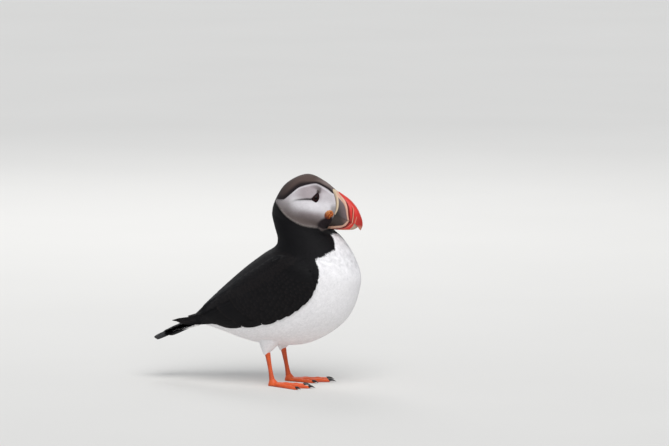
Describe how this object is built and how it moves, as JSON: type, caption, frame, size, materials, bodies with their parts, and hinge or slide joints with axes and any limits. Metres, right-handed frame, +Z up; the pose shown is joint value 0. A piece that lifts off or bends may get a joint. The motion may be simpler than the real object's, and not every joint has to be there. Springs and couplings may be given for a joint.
{
  "type": "atlantic puffin",
  "caption": "Standing puffin with its neck drawn in: deep banded bill, pale cheeks, black back and collar, white breast, orange webbed feet.",
  "frame": {"origin": "on the floor between the feet, under the centre of the bounding box", "axes": "+X the way the bill points, +Y the bird's left, +Z up"},
  "size_m": [0.2186, 0.0946, 0.2053],
  "materials": {
    "black_plumage": "sleek black feathers",
    "white_plumage": "soft white feathers",
    "face_plumage": "short pale grey feathers under a dark cap",
    "red_bill": "horn, satin, banded slate, cream and red",
    "orange_skin": "scaly bare skin",
    "dark_horn": "horn, satin",
    "eye": "wet and glossy"
  },
  "bodies": {
    "root": {"head": "face_plumage", "neck": "black_plumage", "trunk": "white_plumage", "tail": "black_plumage", "bill_upper": "red_bill", "bill_lower": "red_bill", "wing_right": "black_plumage", "thigh_right": "white_plumage", "leg_right": "orange_skin", "foot_right": "orange_skin", "eye_right": "eye", "gape_rosette_right": "orange_skin", "claw_right_inner": "dark_horn", "claw_right_middle": "dark_horn", "claw_right_outer": "dark_horn", "wing_left": "black_plumage", "thigh_left": "white_plumage", "leg_left": "orange_skin", "foot_left": "orange_skin", "eye_left": "eye", "gape_rosette_left": "orange_skin", "claw_left_inner": "dark_horn", "claw_left_middle": "dark_horn", "claw_left_outer": "dark_horn"}
  },
  "joints": []
}
